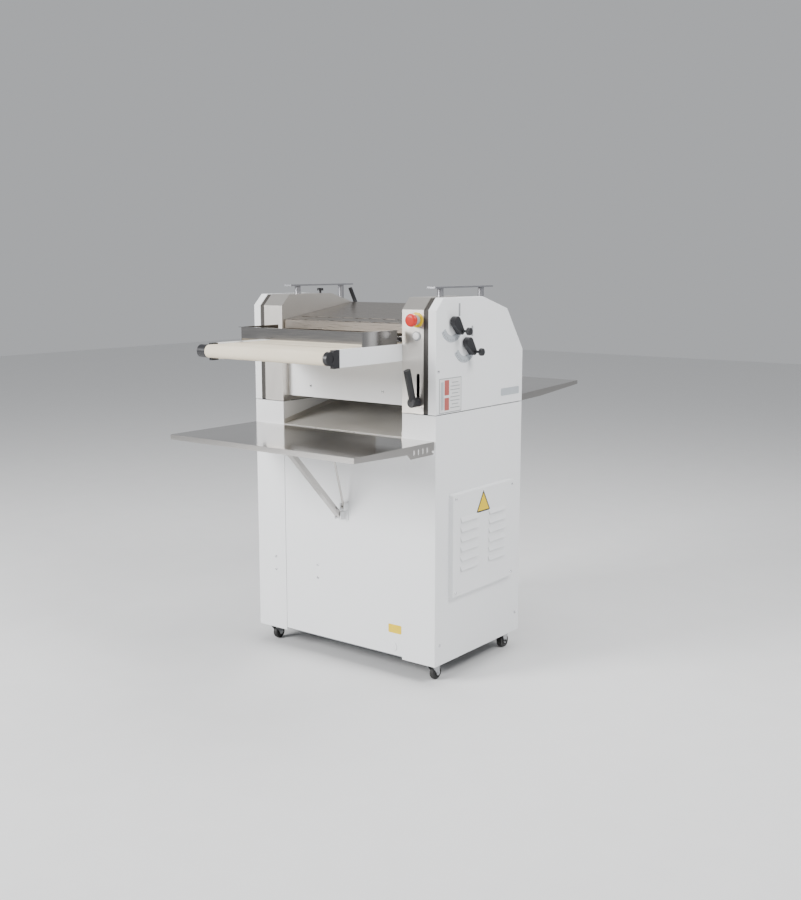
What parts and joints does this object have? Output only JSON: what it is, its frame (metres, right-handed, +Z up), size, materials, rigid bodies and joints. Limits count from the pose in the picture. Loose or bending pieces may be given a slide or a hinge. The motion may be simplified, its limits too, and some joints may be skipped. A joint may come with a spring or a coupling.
{
  "type": "dough sheeter",
  "caption": "Floor-standing dough sheeter on castors: infeed belt, paired rollers under a slotted guard, chute, folding front tray and thickness levers.",
  "frame": {"origin": "on the floor, under the middle of the machine with both trays and the levers counted", "axes": "+Z up, front (infeed belt, front tray, push buttons) towards -Y, thickness levers on the +X side"},
  "size_m": [0.8054, 1.26, 1.231],
  "materials": {
    "white_steel": "white powder coat, fine texture",
    "cheek_steel": "satin stainless sheet, vertical grain",
    "stainless": "brushed stainless sheet",
    "steel": "plain machined steel",
    "chrome": "polished",
    "black_plastic": "moulded, fine grain",
    "seal_black": "black rubber",
    "belt": "cream food belt, cotton faced",
    "red_plastic": "red button",
    "yellow_plastic": "yellow plate",
    "white_plastic": "white button",
    "scale_grey": "satin printed plate",
    "frame_steel": "grey primer",
    "motor_paint": "blue-grey enamel",
    "roller": "hard-chromed, polished",
    "rubber_tyre": "castor tread"
  },
  "bodies": {
    "machine": {"base_frame": "frame_steel", "case_screws": "chrome", "castor_mounts": "steel", "cheek_stalk": "black_plastic", "chute": "stainless", "control_bezels": "yellow_plastic", "conveyor_frame": "white_steel", "drive_chains": "steel", "electrical_box": "frame_steel", "front_panel": "white_steel", "gap_seals": "seal_black", "gear_motor": "motor_paint", "guide_frame": "stainless", "infeed_belt": "belt", "infeed_panel": "white_steel", "left_cheek": "cheek_steel", "left_lower_case": "white_steel", "left_outer_cover": "white_steel", "louvre_cover": "white_steel", "rear_hood": "white_steel", "rear_panel": "white_steel", "rear_tray": "stainless", "right_cheek": "cheek_steel", "right_lower_case": "white_steel", "right_outer_cover": "white_steel", "roller_bearings": "steel", "roller_caps": "black_plastic", "scrapers": "steel", "side_plates": "frame_steel", "thickness_scales": "scale_grey", "top_rails": "steel", "tray_brackets": "white_steel"},
    "front_tray": {"front_tray": "stainless"},
    "tray_strut": {"tray_strut": "stainless"},
    "stay_rod": {"stay_rod": "stainless"},
    "guard": {"guard": "stainless"},
    "infeed_front_roller": {"infeed_front_roller": "steel"},
    "infeed_drive_roller": {"infeed_drive_roller": "steel"},
    "lower_roller": {"lower_roller": "roller", "lower_roller_gears": "steel"},
    "rear_roller": {"rear_roller": "roller"},
    "upper_blocks": {"upper_roller_blocks": "steel"},
    "upper_roller": {"upper_roller": "roller"},
    "middle_blocks": {"middle_roller_blocks": "steel"},
    "middle_roller": {"middle_roller": "roller"},
    "motor_sprocket": {"motor_sprocket": "steel"},
    "upper_lever": {"upper_thickness_lever": "black_plastic"},
    "lower_lever": {"lower_thickness_lever": "black_plastic"},
    "upper_plunger": {"upper_lever_plunger": "black_plastic"},
    "lower_plunger": {"lower_lever_plunger": "black_plastic"},
    "estop": {"estop_button": "red_plastic"},
    "start": {"start_button": "white_plastic"},
    "pressure_board": {"pressure_board": "stainless"},
    "clamp_lever": {"clamp_lever": "black_plastic"},
    "front_left_fork": {"front_left_castor_fork": "steel"},
    "front_right_fork": {"front_right_castor_fork": "steel"},
    "front_left_wheel": {"front_left_wheel": "rubber_tyre"},
    "front_right_wheel": {"front_right_wheel": "rubber_tyre"},
    "rear_wheels": {"rear_wheels": "rubber_tyre"},
    "top_knob": {"top_knob": "black_plastic"}
  },
  "joints": [
    {"name": "lower_roller_spin", "type": "hinge", "parent": "machine", "child": "lower_roller", "pos_m": [-0.02525, -0.072, 1.031], "axis": [1, 0, 0], "continuous": true},
    {"name": "rear_roller_spin", "type": "hinge", "parent": "machine", "child": "rear_roller", "pos_m": [-0.02525, 0.065, 0.985], "axis": [1, 0, 0], "continuous": true},
    {"name": "infeed_drive_spin", "type": "hinge", "parent": "machine", "child": "infeed_drive_roller", "pos_m": [-0.02525, -0.132, 1.036], "axis": [1, 0, 0], "continuous": true},
    {"name": "infeed_front_spin", "type": "hinge", "parent": "machine", "child": "infeed_front_roller", "pos_m": [-0.02525, -0.583, 1.036], "axis": [1, 0, 0], "continuous": true},
    {"name": "motor_spin", "type": "hinge", "parent": "machine", "child": "motor_sprocket", "pos_m": [-0.32525, -0.072, 0.17], "axis": [1, 0, 0], "continuous": true},
    {"name": "upper_lever_turn", "type": "hinge", "parent": "machine", "child": "upper_lever", "pos_m": [0.34975, -0.165, 1.128], "axis": [-1, 0, 0], "range_deg": [0, 90]},
    {"name": "lower_lever_turn", "type": "hinge", "parent": "machine", "child": "lower_lever", "pos_m": [0.34975, -0.096, 1.062], "axis": [-1, 0, 0], "range_deg": [0, 90]},
    {"name": "upper_gap", "type": "slide", "parent": "machine", "child": "upper_blocks", "axis": [0, 0, 1], "range_m": [0, 0.012]},
    {"name": "upper_roller_spin", "type": "hinge", "parent": "upper_blocks", "child": "upper_roller", "pos_m": [-0.02525, -0.072, 1.089], "axis": [1, 0, 0], "continuous": true},
    {"name": "middle_gap", "type": "slide", "parent": "machine", "child": "middle_blocks", "axis": [0, -1, 0], "range_m": [0, 0.012]},
    {"name": "middle_roller_spin", "type": "hinge", "parent": "middle_blocks", "child": "middle_roller", "pos_m": [-0.02525, 0.007, 0.985], "axis": [1, 0, 0], "continuous": true},
    {"name": "upper_plunger_pull", "type": "slide", "parent": "upper_lever", "child": "upper_plunger", "axis": [1, 0, 0], "range_m": [0, 0.006], "stiffness_N_per_m": 600},
    {"name": "lower_plunger_pull", "type": "slide", "parent": "lower_lever", "child": "lower_plunger", "axis": [1, 0, 0], "range_m": [0, 0.006], "stiffness_N_per_m": 600},
    {"name": "estop_push", "type": "slide", "parent": "machine", "child": "estop", "axis": [0, 1, 0], "range_m": [0, 0.004], "stiffness_N_per_m": 1500},
    {"name": "start_push", "type": "slide", "parent": "machine", "child": "start", "axis": [0, 1, 0], "range_m": [0, 0.003], "stiffness_N_per_m": 600},
    {"name": "pressure_board_lift", "type": "slide", "parent": "machine", "child": "pressure_board", "axis": [0, 0, 1], "range_m": [0, 0.08]},
    {"name": "clamp_turn", "type": "hinge", "parent": "pressure_board", "child": "clamp_lever", "pos_m": [0.28275, -0.246, 0.887], "axis": [0, 1, 0], "range_deg": [0, 100]},
    {"name": "guard_lift", "type": "hinge", "parent": "machine", "child": "guard", "pos_m": [-0.02525, 0.112, 1.158], "axis": [-1, 0, 0], "range_deg": [0, 70]},
    {"name": "tray_fold", "type": "hinge", "parent": "machine", "child": "front_tray", "pos_m": [-0.02525, -0.259, 0.742], "axis": [1, 0, 0], "range_deg": [0, 88]},
    {"name": "strut_fold", "type": "hinge", "parent": "machine", "child": "tray_strut", "pos_m": [-0.02525, -0.258, 0.497], "axis": [1, 0, 0], "range_deg": [0, 135.7]},
    {"name": "rod_fold", "type": "hinge", "parent": "machine", "child": "stay_rod", "pos_m": [-0.02525, -0.258, 0.528], "axis": [1, 0, 0], "range_deg": [0, 164.2]},
    {"name": "front_left_swivel", "type": "hinge", "parent": "machine", "child": "front_left_fork", "pos_m": [-0.36325, -0.205, 0.06], "axis": [0, 0, 1], "continuous": true},
    {"name": "front_left_roll", "type": "hinge", "parent": "front_left_fork", "child": "front_left_wheel", "pos_m": [-0.36325, -0.191, 0.0225], "axis": [1, 0, 0], "continuous": true},
    {"name": "front_right_swivel", "type": "hinge", "parent": "machine", "child": "front_right_fork", "pos_m": [0.31275, -0.205, 0.06], "axis": [0, 0, 1], "continuous": true},
    {"name": "front_right_roll", "type": "hinge", "parent": "front_right_fork", "child": "front_right_wheel", "pos_m": [0.31275, -0.191, 0.0225], "axis": [1, 0, 0], "continuous": true},
    {"name": "rear_wheels_roll", "type": "hinge", "parent": "machine", "child": "rear_wheels", "pos_m": [-0.02525, 0.205, 0.0225], "axis": [1, 0, 0], "continuous": true},
    {"name": "top_knob_turn", "type": "hinge", "parent": "machine", "child": "top_knob", "pos_m": [-0.32125, 0, 1.2], "axis": [0, 0, 1], "range_deg": [-180, 180]}
  ],
  "couplings": [
    {"joint": "upper_roller_spin", "follows": "lower_roller_spin", "ratio": -1},
    {"joint": "rear_roller_spin", "follows": "lower_roller_spin", "ratio": -1},
    {"joint": "middle_roller_spin", "follows": "lower_roller_spin", "ratio": 1},
    {"joint": "infeed_drive_spin", "follows": "lower_roller_spin", "ratio": 1.4},
    {"joint": "infeed_front_spin", "follows": "lower_roller_spin", "ratio": 1.4},
    {"joint": "motor_spin", "follows": "lower_roller_spin", "ratio": 1},
    {"joint": "upper_lever_turn", "follows": "upper_gap", "rad_per_m": 130.89},
    {"joint": "lower_lever_turn", "follows": "middle_gap", "rad_per_m": 130.89},
    {"joint": "strut_fold", "follows": "tray_fold", "ratio": 1.5398},
    {"joint": "rod_fold", "follows": "tray_fold", "ratio": 1.8636}
  ]
}
